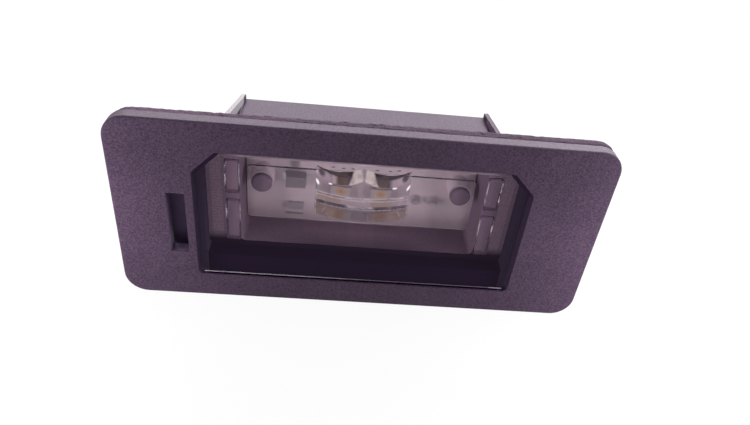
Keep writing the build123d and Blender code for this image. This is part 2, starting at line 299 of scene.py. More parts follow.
def filleted(corners, radii, steps):
    """Rounds every corner of each row's closed outline: a parabola from a point one radius before the corner to
    one a radius after it, (1-t)^2 A + 2t(1-t) Q + t^2 C."""
    before = np.roll(corners, 1, axis=1) - corners
    after = np.roll(corners, -1, axis=1) - corners
    reach = np.asarray(radii)[None, :, None]
    first = corners + reach * before / np.linalg.norm(before, axis=-1, keepdims=True)
    last = corners + reach * after / np.linalg.norm(after, axis=-1, keepdims=True)
    t = np.linspace(0, 1, steps)[None, None, :, None]
    curve = (1 - t) ** 2 * first[:, :, None] + 2 * t * (1 - t) * corners[:, :, None] + t**2 * last[:, :, None]
    return curve.reshape(len(corners), -1, 2)


print("grids and outlines ready")


# %% A piece of the lamp
def piece(name, points_mm, faces, material, sharp_degrees=35.0):
    """A finished piece of the lamp from points in millimetres. Its faces are turned outwards: the volume, summed
    as one sixth of a . (b x c) over fans of triangles, has to come out positive."""
    points = np.asarray(points_mm, dtype=float).reshape(-1, 3)
    fans = np.array([(f[0], f[i], f[i + 1]) for f in faces for i in range(1, len(f) - 1)])
    a, b, c = points[fans[:, 0]], points[fans[:, 1]], points[fans[:, 2]]
    volume = np.einsum("ij,ij->", a, np.cross(b, c)) / 6
    mesh = bpy.data.meshes.new(name)
    mesh.from_pydata((points * MM).tolist(), [], [list(map(int, f)) for f in faces])
    if volume < 0:
        mesh.flip_normals()
    mesh.polygons.foreach_set("use_smooth", np.ones(len(mesh.polygons), dtype=bool))
    mesh.set_sharp_from_angle(angle=np.radians(sharp_degrees))
    mesh.materials.append(material)
    made = bpy.data.objects.new(name, mesh)
    bpy.context.scene.collection.objects.link(made)
    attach(made, "root")
    print(name, len(faces), "faces,", round(abs(volume)), "cubic mm")
    return made


print("pieces can be built from grids")

# %% [markdown]
# ## Black moulded plastic
# The housing is one moulding in black plastic. Its tool was spark eroded on the outside, which leaves an
# even, fine grain: under soft light that looks like dark grey satin with a faint speckle. The well round the
# cover was left without grain, so that the seam weld holds; it is painted near black for the shade in it. The
# inside of the box is coloured paler, with painted shade on its floor towards the front and the middle, and the
# ledge beside the cover's bars carries fine flutes, whose highlights are painted as pale stripes with painted
# glints. The left arm's tip is painted pale on its front and upper faces for the light on it, the right arm's
# tip is painted lighter on its front for the light there, and the slot's walls and what shows through the slot
# are painted lighter than their shade. At the rear the ejector pins left round dents. The mesh could be cut up
# for that, with a material for each part. Here it stays whole, and one material asks where on the housing it
# is and which way the face looks.

# %% Regions of the housing
WELL_MM = ((-31.4, 31.4), (-4.55, 1.45), (-14.35, 14.05))
LEDGE_MM = ((-29.9, 29.9), (1.45, 1.6), (-10.4, 12.5))
INSIDE_MM = ((-23.9, 23.9), (1.45, 17.4), (-9.4, 12.3))
SLOT_MM = ((-36.9, -32.2), (-4.7, -2.3), (-9.4, 5.4))
SLOT_FLOOR_MM = ((-38.5, -30.5), (-2.3, 23.0), (-13.4, 5.4))
BOX_FLOOR_MM = -9.0
LOW_LEDGE_MM = (-7.0, -9.0)
ARM_X_MM, ARM_Y_MM, ARM_TIP_MM = 25.0, 2.0, (9.0, 12.0)
FRONT_FACING, UP_FACING, INWARD_FACING = -0.05, 0.5, 1.0

housing_plastic, shader, place = start("black_plastic")
x, y, z = axes = along_axes(place)
normal_x, normal_y, normal_z = along_axes(place.add("ShaderNodeTexCoord", out="Normal"))
reach = abs(x)
faces_front = normal_y.math("LESS_THAN", FRONT_FACING)
faces_up = normal_z.math("GREATER_THAN", UP_FACING)
faces_in = (normal_x * x + normal_z * z).math("LESS_THAN", INWARD_FACING)
well = region(axes, *WELL_MM) * faces_in
ledge = region(axes, *LEDGE_MM)
low_ledge = ledge * rise(z, *LOW_LEDGE_MM)
inside = region(axes, *INSIDE_MM)
box_floor = inside * z.math("LESS_THAN", BOX_FLOOR_MM)
slot = region(axes, *SLOT_MM)
slot_floor = region(axes, *SLOT_FLOOR_MM) * faces_front
arm_tips = y.math("GREATER_THAN", ARM_Y_MM) * rise(z, *ARM_TIP_MM)
# painted light: the left arm's tip is painted pale on its front and upper faces, for the light on it
painted_lighting = x.math("LESS_THAN", -ARM_X_MM) * arm_tips * faces_front.math("MAXIMUM", faces_up)
# painted light: the front of the right arm's tip is painted lighter, for light on a face that lies in shade
painted_fill = x.math("GREATER_THAN", ARM_X_MM) * arm_tips * faces_front
print("housing has its regions: well, ledge, box, slot and arm tips")

# %% Outside of the housing
GRAIN_DARK = (0.029, 0.0175, 0.033, 1)
GRAIN_LIGHT = (0.083, 0.052, 0.089, 1)
ARM_PAINTED_FILL = (0.25, 0.175, 0.245, 1)
ARM_PAINTED_LIGHT = (0.33, 0.31, 0.33, 1)
# painted light: the slot's walls and the faces seen through the slot are coloured lighter than their shade
SLOT_WALL_PAINTED_LIGHT = (0.110, 0.078, 0.140, 1)
SLOT_BACK_PAINTED_LIGHT = (0.150, 0.112, 0.195, 1)

grain = speckle(place, 2.7, 3.0, 0.7)
cloud = speckle(place, 0.10, 2.0, 0.5)
tone = rise(grain * 0.85 + cloud * 0.15, 0.36, 0.64)
outer = blend(painted_fill, blend(tone, GRAIN_DARK, GRAIN_LIGHT), ARM_PAINTED_FILL)
outer = blend(slot_floor, blend(painted_lighting, outer, ARM_PAINTED_LIGHT), SLOT_BACK_PAINTED_LIGHT)
print("outside has its grain")

# %% Inside of the housing
BOX_DARK = (0.200, 0.139, 0.191, 1)
BOX_LIGHT = (0.265, 0.188, 0.252, 1)
LEDGE_PAINTED_HIGHLIGHT = (0.420, 0.275, 0.370, 1)
PAINTED_SHADE_DARK = (0.011, 0.006, 0.016, 1)
FLUTED_MM, BEHIND_BARS_MM, BAR_GAP_MM = (26.9, 29.0), (23.6, 26.2), 3.5
GLITTER_MM = (4.0, 11.0)
PATCH_MM = (-1.9, 3.4)
SHADED_Y_MM, SHADED_X_MM = (6.2, 1.8), (21.0, 9.0)

# painted highlights: pale stripes on the flutes, stronger behind the bars at the upper left, and painted glints
# towards the top
behind_bars = 0.4 + x.math("LESS_THAN", 0.0) * z.math("GREATER_THAN", BAR_GAP_MM) * 0.9
stripes = within(reach, *FLUTED_MM).math("MAXIMUM", within(reach, *BEHIND_BARS_MM) * behind_bars)
ledge_glints = rise(speckle(place, 1.6, 1.0), 0.60, 0.70) * rise(z, *GLITTER_MM)
pale = ledge * (stripes * rise(grain, 0.3, 0.7) * 0.8 + ledge_glints * 0.6)
patch = box_floor * within(x, *PATCH_MM)
inner = blend(pale + patch * 0.10, blend(tone, BOX_DARK, BOX_LIGHT), LEDGE_PAINTED_HIGHLIGHT)
shaded = box_floor * rise(y, *SHADED_Y_MM) * rise(reach, *SHADED_X_MM) * 0.6
inner = blend(shaded, inner, PAINTED_SHADE_DARK)
box = ledge.math("MAXIMUM", inside)
print("inside has its floor, ledge and pale stripes")

# %% Relief of the housing
FLUTE_PITCH_MM = 0.62
PIN_DENTS_MM = ((-19.0, 8.5), (19.0, 8.5), (-19.0, -5.5), (1.5, -5.5))
PIN_RADIUS_MM, PIN_EDGE_MM = 1.5, 0.12
REAR_MM = 18.4
SHEEN_TINT = (1.0, 0.84, 0.96, 1)

flutes = (z * (2 * np.pi / FLUTE_PITCH_MM)).math("SINE") * 0.5 * ledge
dents = 0.0
for dent in PIN_DENTS_MM:
    distance = oval(x, z, dent).math("SQRT")
    dents = rise(distance, PIN_RADIUS_MM, PIN_RADIUS_MM - PIN_EDGE_MM) + dents
relief = grain * (1 - well) * 0.25 + flutes - dents * y.math("GREATER_THAN", REAR_MM)
drive(
    shader,
    Base_Color=blend(slot, blend(box, outer, inner), SLOT_WALL_PAINTED_LIGHT),
    Roughness=0.46 + grain * 0.14,
    Normal=bump(relief, 0.5, 0.12),
)
fix(shader, Specular_IOR_Level=0.2, Specular_Tint=SHEEN_TINT)
print("housing has", len(PIN_DENTS_MM), "pin dents at the rear")

# %% [markdown]
# The well is so matt that it mirrors nothing of the white room. A high roughness alone would still leave it a
# grey haze, so a second shader without any mirror part takes over there, and a Mix Shader chooses between the
# two. Its colours are painted shade: near black in the deep and on the low ledge, lighter on the outer side
# walls, with painted light on the right wall and at the cut corners.

# %% Matt well of the housing
# painted shade: near black for the deep of the well and the low ledge; painted light on the right wall and the cut
# corners
WELL_PAINTED_SHADE = (0.007, 0.0028, 0.013, 1)
WELL_WALL = (0.048, 0.035, 0.062, 1)
WELL_RIGHT_PAINTED_LIGHT = (0.090, 0.062, 0.115, 1)
WALL_FROM_MM, RIGHT_FROM_MM, CUT_FROM_MM = 29.5, 31.0, 40.2

walls = blend(reach.math("GREATER_THAN", WALL_FROM_MM), WELL_PAINTED_SHADE, WELL_WALL)
at_cut = (reach + z).math("GREATER_THAN", CUT_FROM_MM)
walls = blend(x.math("GREATER_THAN", RIGHT_FROM_MM).math("MAXIMUM", at_cut), walls, WELL_RIGHT_PAINTED_LIGHT)
deep = blend(low_ledge, walls, PAINTED_SHADE_DARK)
matt_inputs = {"Base Color": deep, "Roughness": 0.9, "Specular IOR Level": 0.0}
matt = deep.add("ShaderNodeBsdfPrincipled", inputs=matt_inputs)
show(housing_plastic, layered(well.math("MAXIMUM", low_ledge), result(shader), matt))
wear(housing_plastic, "housing")
print("housing dressed")

# %% [markdown]
# ## Foam seal
# Between the flange and the car's panel lies a ring cut from a sheet of foam. A knife leaves its edge a
# little uneven, the glue under the flange pulls it slightly out of line, and the foam swells past its own
# outline between the two faces. The ring is two outlines that pair up, joined by a section that bulges at its
# edges. Its cut cells show as dark flecks in a dusty grey, which turns paler towards both ends, most at the left.

# %% Build the seal
SEAL_OUTER_MM = (45.6, 19.4, 4.0)
SEAL_INNER_MM = (38.2, 15.9, 2.4)
SEAL_FRONT_MM, SEAL_BACK_MM = -2.4, 0.0
SEAL_PULLED_MM = 0.5
BULGE_SHARE, FLAT_FROM, FLAT_TO = 0.09, 0.15, 0.85
CUT_SEED = 11
CUT_UNEVEN_MM = 0.055
CORNER_STEPS, SIDE_STEPS, EDGE_STEPS = 24, 240, 11

outer = rounded_outline(*SEAL_OUTER_MM, CORNER_STEPS, SIDE_STEPS)
inner = rounded_outline(*SEAL_INNER_MM, CORNER_STEPS, SIDE_STEPS)
depth = np.linspace(0, 1, EDGE_STEPS)
edge = BULGE_SHARE * np.abs(2 * depth - 1) ** 4
flat = np.linspace(FLAT_FROM, FLAT_TO, 6)
section_across = np.concatenate((1 - edge, flat[::-1], edge, flat))
section_depth = np.concatenate((depth, np.ones_like(flat), depth[::-1], np.zeros_like(flat)))
rng = np.random.default_rng(CUT_SEED)
ragged = rng.normal(size=(len(outer), len(section_across)))
smoothing = np.hanning(5)[:, None]
spectrum = np.fft.fft(ragged, axis=0) * np.fft.fft(smoothing, n=len(outer), axis=0)
ragged = np.real(np.fft.ifft(spectrum, axis=0))
ragged *= CUT_UNEVEN_MM / ragged.std()
outward = outer - inner
outward /= np.linalg.norm(outward, axis=1, keepdims=True)
ring = inner[:, None] + (outer - inner)[:, None] * section_across[None, :, None]
ring = ring + outward[:, None] * (ragged * (section_across > 0.5))[..., None]
span = 2 * SEAL_OUTER_MM[0]
lifted = ring[..., 1] + SEAL_PULLED_MM * (ring[..., 0] / span + 0.5)
seal_points = grid_points(ring[..., 0], SEAL_FRONT_MM + (SEAL_BACK_MM - SEAL_FRONT_MM) * section_depth, lifted)
print("seal outline:", len(outer), "points round,", len(section_across), "in the section")

# %% Finish of the foam
FOAM_DARK = (0.030, 0.018, 0.031, 1)
FOAM_GREY = (0.058, 0.035, 0.059, 1)
FOAM_PALE = (0.124, 0.074, 0.122, 1)
PALER_LEFT_MM, PALER_RIGHT_MM = (-12.0, -40.0), (30.0, 46.0)

seal_foam, shader, place = start("seal_foam")
cells = speckle(place, 4.5, 2.0, 0.6)
along = along_axes(place)[0]
# the grey wanders at random and turns paler towards both ends, most at the left
paleness = speckle(place, 0.5, 2.0, 0.5) * 0.5 + rise(along, *PALER_LEFT_MM) * 0.9 + rise(along, *PALER_RIGHT_MM) * 0.2
fleck = rise(cells, 0.34, 0.58)
drive(
    shader,
    Base_Color=blend(fleck, FOAM_DARK, blend(paleness, FOAM_GREY, FOAM_PALE)),
    Roughness=0.80 + cells * 0.15,
    Normal=bump(fleck, 0.4, 0.06),
)
fix(shader, Specular_IOR_Level=0.2)
seal = piece("foam_ring", seal_points, quads(len(outer), len(section_across), True), seal_foam)
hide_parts("panel_seal")

# %% [markdown]
# ## Clear plastic
# Cover and light block are clear mouldings. Seen by the camera they bend what lies behind them. A lamp
# outside has to shine through them too, and a renderer finds hardly any such path through bent rays, so rays
# of shadow and of scattered light pass them straight.


# %% Let light through clear plastic
CLEAR_TINT = (0.97, 0.96, 0.97, 1)
NO_LIGHT = (0, 0, 0, 1)


def let_light_in(material, seen, tint, open_share=0.0):
    """Rays of shadow and of scattered light pass this material straight, and so do all others where open_share is
    1; elsewhere they meet the shader that is seen."""
    shadow = seen.add("ShaderNodeLightPath", out="Is Shadow Ray")
    straight = shadow.math("MAXIMUM", shadow.sibling("Is Diffuse Ray")).math("MAXIMUM", open_share)
    open_way = straight.add("ShaderNodeBsdfTransparent", inputs={"Color": tint})
    show(material, layered(straight, seen, open_way))


print("clear plastic lets light in")

# %% [markdown]
# ## Cover
# The cover is a flat sheet with four bars moulded on its back. The bars' faces are slightly dull, their sides
# dark, with broken bright lines where they catch the light, and the sheet's upper edge is lit along the
# middle. At the cut corners the weld shows through as a dark seam. The white room is mirrored in the sheet
# only faintly. One glass shader could do all of it, but its rays would find that mirror image once in a
# hundred and leave grain. So the sheet only bends light, and a veil of one colour lies on it, as strong as
# Fresnel's law says for the angle of view.

# %% Areas of the cover
COVER_FRONT_MM, COVER_REAR_MM = -4.5, -1.9
BAR_MIDDLE_MM, BAR_HALF_MM = 24.4, 1.3
UPPER_BAR_MM, LOWER_BAR_MM = (7.9, 3.4), (-1.85, 4.45)
UPPER_LINE_MM, LOWER_LINE_MM = ((5.2, 6.4), (10.9, 10.3)), ((-3.4, -0.6), (2.2, 1.6))
TOP_EDGE_MM, BOTTOM_EDGE_MM, SIDE_EDGE_MM, CUT_EDGE_MM = 13.32, -13.5, 30.68, 39.75
TOP_LIT_MM = (23.6, 22.6)

cover_clear, shader, place = start("cover_clear")
x, y, z = along_axes(place)
reach = abs(x)
bars = y.math("GREATER_THAN", COVER_REAR_MM + 0.04)
off_middle = abs(reach - BAR_MIDDLE_MM)
bar_sides = bars * rise(off_middle, BAR_HALF_MM - 0.3, BAR_HALF_MM - 0.2)
upper_end, lower_end = [
    rise(abs(z - middle), half - 0.4, half - 0.3) for middle, half in (UPPER_BAR_MM, LOWER_BAR_MM)
]
bar_ends = bars * upper_end.math("MINIMUM", lower_end)
upper_line, lower_line = [rise(z, *low) * rise(z, *high) for low, high in (UPPER_LINE_MM, LOWER_LINE_MM)]
broken = rise(speckle(place, 0.8, 1.0), 0.20, 0.60)
lines = bars * rise(off_middle, BAR_HALF_MM - 0.18, BAR_HALF_MM - 0.10)
lines = lines * upper_line.math("MAXIMUM", lower_line) * broken
top = z.math("GREATER_THAN", TOP_EDGE_MM)
bottom = z.math("LESS_THAN", BOTTOM_EDGE_MM)
cuts = (reach + z).math("GREATER_THAN", CUT_EDGE_MM)
border = top.math("MAXIMUM", bottom).math("MAXIMUM", cuts)
top_edge = top * (0.35 + rise(reach, *TOP_LIT_MM) * 0.65)
open_edges = bottom.math("MAXIMUM", reach.math("GREATER_THAN", SIDE_EDGE_MM))
on_front = y.math("LESS_THAN", COVER_FRONT_MM + 0.1)
print("cover has its areas: sheet, bars, lines, border and cut corners")

# %% Finish of the cover
COVER_INDEX = 1.58
COVER_ROUGH = 0.04
COVER_MIRROR = (0.20, 0.135, 0.235, 1)
BAR_TINT = (0.96, 0.89, 0.95, 1)
BAR_SIDE_TINT = (0.50, 0.44, 0.48, 1)
BORDER_TINT = (0.45, 0.38, 0.45, 1)
DULL_TINT = (0.56, 0.49, 0.55, 1)
LINE_LIT = (0.13, 0.105, 0.122, 1)
SEAM_DARK = (0.0185, 0.0110, 0.0250, 1)
TOP_LIT = (0.125, 0.100, 0.120, 1)

body_tint = blend(bar_sides, blend(bars, CLEAR_TINT, BAR_TINT), BAR_SIDE_TINT)
haze = speckle(place, 3.0)
flow = speckle(place, 0.25, 1.0, 0.4)
relief = bump(flow + bars * haze * 0.3, 1.0, 0.02)
# painted highlights: the emission draws the broken bright lines on the bars and the lit middle of the upper edge
drive(
    shader,
    Base_Color=blend(border, body_tint, BORDER_TINT),
    Roughness=0.03 + haze * 0.03 + bars * 0.30 + border * 0.3,
    Normal=relief,
    Emission_Color=blend(lines, blend(top_edge, NO_LIGHT, TOP_LIT), LINE_LIT),
)
fix(shader, IOR=COVER_INDEX, Transmission_Weight=1.0, Specular_Tint=NO_LIGHT, Emission_Strength=1.0)
mirrored = place.add("ShaderNodeFresnel", inputs={"IOR": COVER_INDEX})
sheet_inputs = {"Color": CLEAR_TINT, "Roughness": COVER_ROUGH, "IOR": COVER_INDEX, "Normal": relief}
sheet = place.add("ShaderNodeBsdfRefraction", inputs=sheet_inputs)
veil = place.add("ShaderNodeEmission", inputs={"Color": COVER_MIRROR, "Strength": 1.0})
dull = place.add("ShaderNodeBsdfTransparent", inputs={"Color": DULL_TINT})
seam = place.add("ShaderNodeEmission", inputs={"Color": SEAM_DARK, "Strength": 1.0})
seen = layered(bars.math("MAXIMUM", border), layered(mirrored * on_front, sheet, veil), result(shader))
seen = layered(bar_ends.math("MAXIMUM", bar_sides * (1 - lines)), seen, dull)
let_light_in(cover_clear, layered(cuts, seen, seam), CLEAR_TINT, open_edges)
wear(cover_clear, "cover_lens")
print("cover dressed")

# %% [markdown]
# ## Finish of the light block
# The block is brighter plastic, and what makes it look like glass are the things that its curves do: pale
# lobes by the ridge, dark hollows beside them, lit step edges, amber fields over the diodes, and four small
# glints. They come from a room that isn't known, so they are drawn by their place on the block, in tint and
# in a faint glow.

# %% Tints of the light block
BLOCK_BACK_MM = 5.9
NEAR_VALLEY_MM, NEAR_CURVE, NEAR_PLACE_MM, NEAR_SOFT_MM = 5.85, 0.0586, 4.8, 0.15
CROWN_HIGH_MM = 1.45
END_SPOT, END_SPOT_HALF = (8.1, 0.55), (0.8, 0.5)
GROOVE_TOP_MM, GROOVE_BOTTOM_MM = 1.75, 1.40
FRONT_TINT = (0.60, 0.58, 0.61, 1)
SLAB_TINT = (0.130, 0.106, 0.124, 1)
LOBE_TINT = (0.96, 0.93, 0.88, 1)
HOLLOW_TINT = (0.055, 0.050, 0.070, 1)
END_TINT = (0.52, 0.47, 0.50, 1)
CREST_TINT = (0.02, 0.018, 0.02, 1)

optic_clear, shader, place = start("optic_clear")
x, y, z = along_axes(place)
reach = abs(x)
haze = speckle(place, 2.0)
flow = speckle(place, 0.5, 1.0, 0.4)
on_block = y.math("LESS_THAN", BLOCK_BACK_MM)
near_edge = NEAR_VALLEY_MM + NEAR_CURVE * (reach - NEAR_PLACE_MM).math("POWER", 2.0)
share = (z - near_edge) / CROWN_HIGH_MM
crown = on_block * rise(share, -0.08, 0.0)
parted = rise(reach - share * share * 0.45, 0.05, 0.30)
lobe = rise(reach + share * 0.8, 3.0, 2.5) * parted
end_tone = rise(reach, 4.95, 5.6) * (1 - rise(oval(reach, share, END_SPOT, END_SPOT_HALF), 1.2, 0.2))
crown_tint = blend(lobe, blend(end_tone, HOLLOW_TINT, END_TINT), LOBE_TINT)
crown_tint = blend(rise(share, 0.80, 0.90) * (1 - lobe), crown_tint, CREST_TINT)
# painted shade: the lower slab is tinted much darker than the front above it
slab_tint = blend(rise(z, GROOVE_TOP_MM, GROOVE_BOTTOM_MM), FRONT_TINT, SLAB_TINT)
front_tint = blend(on_block, CLEAR_TINT, slab_tint)
print("light block has its lobes and hollows")

# %% Lit edges and glints of the light block
STEP_EDGE_MM, STEP_EDGE_HALF_MM, STEP_LINE_MM = 3.15, 0.15, 3.17
SLAB_EDGE_MM, END_EDGE_MM, END_EDGE_TOP_MM = 1.32, 8.98, 3.3
FORKS_MM = ((8.35, 1.95, -0.94, 0.45), (7.40, 2.10, 0.55, 0.65), (7.35, 0.20, -0.48, 0.80))
SLAB_ENDS_MM, SLAB_RANGE_MM = (4.4, 5.6), (-1.6, 1.2)
GLINTS_MM = (
    (-1, (8.85, 5.35), (0.34, 0.62), 0.35),
    (-1, (6.35, 5.62), (0.42, 0.20), 0.0),
    (1, (6.05, 5.60), (0.52, 0.22), 0.0),
    (1, (8.85, 5.30), (0.34, 0.66), 0.45),
)
GLINT_BACK_MM = 3.2
EDGE_LIT = (0.26, 0.22, 0.245, 1)
STEP_GREY = (0.11, 0.092, 0.106, 1)
SLAB_AMBER = (0.050, 0.030, 0.012, 1)
END_GLOW = (0.120, 0.096, 0.118, 1)
NOTCH_GREY = (0.17, 0.15, 0.16, 1)

# painted highlights: lit edges, forked lines and glints, broken up by noise
patchy_highlights = rise(haze, 0.25, 0.55)
step_edge = rise(abs(abs(z - STEP_EDGE_MM) - STEP_EDGE_HALF_MM), 0.13, 0.05)
end_edge = rise(abs(reach - END_EDGE_MM), 0.16, 0.06) * z.math("LESS_THAN", END_EDGE_TOP_MM)
edges = on_block * rise(abs(z - SLAB_EDGE_MM), 0.12, 0.06) * patchy_highlights
forks = 0.0
for across, upward, lean, half_z in FORKS_MM:
    line = rise(abs(reach - across - (z - upward) * lean), 0.16, 0.06)
    forks = line * abs(z - upward).math("LESS_THAN", half_z) * 0.7 + forks
lit_edges = on_block * step_edge.math("MAXIMUM", end_edge).math("MAXIMUM", forks) * patchy_highlights
lit = blend(on_block * rise(abs(z - STEP_LINE_MM), 0.10, 0.06), NO_LIGHT, STEP_GREY)
lit = blend(on_block * within(z, *SLAB_RANGE_MM) * rise(reach, *SLAB_ENDS_MM), lit, SLAB_AMBER)
lit = blend(crown * end_tone * rise(share, 0.95, 0.60), blend(lit_edges, lit, EDGE_LIT), END_GLOW)
lit = blend(crown * (1 - parted), lit, NOTCH_GREY)
glints = 0.0
for side, middle, halves, lean in GLINTS_MM:
    far = oval(x * side - (z - middle[1]) * lean, z, middle, halves)
    glints = rise(far, 1.3, 0.3) * y.math("LESS_THAN", GLINT_BACK_MM) + glints
print("light block has", len(GLINTS_MM), "glints and", len(FORKS_MM), "forked lines at each end")

# %% Finish of the light block
OPTIC_INDEX = 1.49
OPTIC_MIRROR = (0.62, 0.57, 0.61, 1)
EDGE_BRIGHT = (0.36, 0.32, 0.35, 1)
LOBE_GLOW = (0.24, 0.20, 0.18, 1)
GLINT_WHITE = (0.85, 0.84, 0.85, 1)

drive(
    shader,
    Base_Color=blend(edges, blend(crown, front_tint, crown_tint), EDGE_BRIGHT),
    Metallic=edges * 0.8,
    Roughness=0.12 + haze * 0.05 + edges * 0.3 - on_block * 0.09,
    Normal=bump(flow, 1.0, 0.03),
    Emission_Color=blend(glints, blend(crown * lobe, lit, LOBE_GLOW), GLINT_WHITE),
)
fix(shader, IOR=OPTIC_INDEX, Transmission_Weight=1.0, Specular_Tint=OPTIC_MIRROR, Emission_Strength=1.0)
let_light_in(optic_clear, result(shader), CLEAR_TINT)
print("light block's finish is ready")

# %% [markdown]
# ## Bright lower edge of the cover
# The cover's lower edge is where the light that travels inside the sheet comes out: it shows as a fine bright
# line along the sill. A bump or a paler tint would be lost at that width, so the rounded edge gets a painted
# highlight of its own: a pale border, a quarter circle with two short legs, carried along the edge. The painted
# line turns dim to the right of the middle and is bright again near the right end.

# %% Build the cover's bright lower edge
COVER_BOTTOM_MM = -13.9
SILL_HALF_MM = 30.2
SILL_ROUND_MM = 0.17
SILL_BORDER_MM = 0.01
PROUD_MM = 0.02
SILL_DIM_MM, SILL_END_MM = (-12.0, 4.0), 27.5
SILL_GREY = (0.30, 0.26, 0.32, 1)
SILL_WHITE = (0.58, 0.53, 0.60, 1)
SILL_DIM = (0.16, 0.125, 0.17, 1)

way = np.linspace(-SILL_HALF_MM, SILL_HALF_MM, 160)
angle = np.linspace(0, np.pi / 2, 8)
radius = SILL_ROUND_MM + PROUD_MM
round_y = COVER_FRONT_MM + SILL_ROUND_MM - radius * np.cos(angle)
round_z = COVER_BOTTOM_MM + SILL_ROUND_MM - radius * np.sin(angle)
border_y = np.array([COVER_FRONT_MM + PROUD_MM, COVER_FRONT_MM - PROUD_MM])
border_z = COVER_BOTTOM_MM + SILL_ROUND_MM + np.array([SILL_BORDER_MM, SILL_BORDER_MM])
under_y = np.array([COVER_FRONT_MM + SILL_ROUND_MM, COVER_FRONT_MM + SILL_ROUND_MM])
under_z = np.array([COVER_BOTTOM_MM + PROUD_MM, COVER_BOTTOM_MM + SILL_ROUND_MM])
sill_y = np.concatenate((border_y, round_y, under_y))
sill_z = np.concatenate((border_z, round_z, under_z))
sill_points = grid_points(way[:, None], sill_y, sill_z)
# painted highlight: a pale, sparkling line along the sill, dim from the middle to near the right end
sill_painted_highlight, shader, place = start("sill_painted_highlight")
x = along_axes(place)[0]
sparkle = speckle(place, 1.2, 3.0, 0.6)
sill_bright = blend(sparkle, SILL_GREY, SILL_WHITE)
drive(
    shader,
    Base_Color=blend(rise(x, *SILL_DIM_MM) * x.math("LESS_THAN", SILL_END_MM), sill_bright, SILL_DIM),
    Roughness=0.25 + sparkle * 0.2,
)
piece("cover_sill", sill_points, capped_tube(len(way), len(sill_y)), sill_painted_highlight)

# %% [markdown]
# ## Light block
# The light block spreads the light of the two diodes. Its top is two hollows, one over each diode, that meet
# in a ridge; its front bows out and steps down in two slabs with a groove between them. A profile runs round
# top, front, steps and bottom, and the profile is carried from one end to the other while its depth follows
# the bow.

# %% Build the light block
BLOCK_HALF_MM = 9.2
END_ROUND_MM = 0.45
BOW_RADIUS_MM = 22.0
PLATE_FRONT_MM = 6.1
TOP_REACH_MM = 5.2
BLOCK_ROOT_MM = 0.35
STEP_REACH_MM = 0.55
STEP_Z_MM = 3.2
GROOVE_DEEP_MM = 0.45
BLOCK_BOTTOM_MM = -1.5
FAR_VALLEY_MM, FAR_CURVE, FAR_PLACE_MM, FAR_SOFT_MM = 7.26, 0.075, 4.7, 0.634
CREST_SEEN_MM = 2.6
SIGHT_SLOPE = 0.716
RIDGE_DEPTH_MM, HOLLOW_DEPTH_MM = 2.8, 1.2
RIDGE_FROM_MM, RIDGE_TO_MM = 1.2, 4.0
ROOT_TOP_MM = 5.3
CORNER_RADII_MM = (0.05, 0.20, 0.28, 0.12, 0.22, 0.10, 0.06, 0.06, 0.18, 0.35, 0.05)

turn = np.linspace(0, np.pi / 2, 6)
body = np.linspace(-1, 1, 121) * (BLOCK_HALF_MM - END_ROUND_MM)
end_way = BLOCK_HALF_MM - END_ROUND_MM + END_ROUND_MM * np.sin(turn[1:])
end_inset = END_ROUND_MM * (1 - np.cos(turn[1:]))
stations = np.concatenate((-end_way[::-1], body, end_way))
inset = np.concatenate((end_inset[::-1], np.zeros_like(body), end_inset))
bow = BOW_RADIUS_MM - np.sqrt(BOW_RADIUS_MM**2 - stations**2)


def hollow(valley, curve, place, soft):
    """Height of an edge of the top: valley + curve * (s - place)^2, with s the distance from the middle, rounded
    off near 0 as sqrt(x^2 + soft^2)."""
    return valley + curve * (np.sqrt(stations**2 + soft**2) - place) ** 2 - inset


near_top = hollow(NEAR_VALLEY_MM, NEAR_CURVE, NEAR_PLACE_MM, NEAR_SOFT_MM)
share = np.clip((np.abs(stations) - RIDGE_FROM_MM) / (RIDGE_TO_MM - RIDGE_FROM_MM), 0, 1)
share = share**2 * (3 - 2 * share)
crown_depth = RIDGE_DEPTH_MM + (HOLLOW_DEPTH_MM - RIDGE_DEPTH_MM) * share
crest_reach = TOP_REACH_MM - bow - crown_depth
far_top = hollow(FAR_VALLEY_MM, FAR_CURVE, FAR_PLACE_MM, FAR_SOFT_MM)
far_top = far_top + SIGHT_SLOPE * (crest_reach - CREST_SEEN_MM)
upper = TOP_REACH_MM + BLOCK_ROOT_MM - bow - inset
middle = upper + STEP_REACH_MM
lower = middle + STEP_REACH_MM
level = np.zeros_like(stations)
profile = (
    (level, level + ROOT_TOP_MM - inset),
    (crest_reach + BLOCK_ROOT_MM - inset, far_top),
    (upper, near_top),
    (upper, level + STEP_Z_MM),
    (middle, level + STEP_Z_MM - 0.05),
    (middle, level + GROOVE_TOP_MM),
    (middle - GROOVE_DEEP_MM, level + GROOVE_TOP_MM - 0.1),
    (middle - GROOVE_DEEP_MM, level + GROOVE_BOTTOM_MM + 0.1),
    (lower, level + GROOVE_BOTTOM_MM),
    (lower, level + BLOCK_BOTTOM_MM + inset),
    (level, level + BLOCK_BOTTOM_MM - 0.4 + inset),
)
outline = filleted(np.stack([np.stack(p, axis=-1) for p in profile], axis=1), CORNER_RADII_MM, 6)
block_points = grid_points(stations[:, None], PLATE_FRONT_MM + BLOCK_ROOT_MM - outline[..., 0], outline[..., 1])
block_faces = capped_tube(*outline.shape[:2])
print("light block profile:", outline.shape[1], "points at", outline.shape[0], "stations")

# %% [markdown]
# The block grows out of a thin clear plate, which two staked pins hold against small round spacers on the
# board. The plate is one rounded outline at several depths, so that its edges are softly broken as a
# moulding's are. Block and plate could stay two meshes, but their walls would then show inside the clear
# plastic, so they are joined, and the two holes for the pins are drilled. The spacers are painted a little paler
# than the board, which hides the shade on them, so they melt into the pale board behind them.

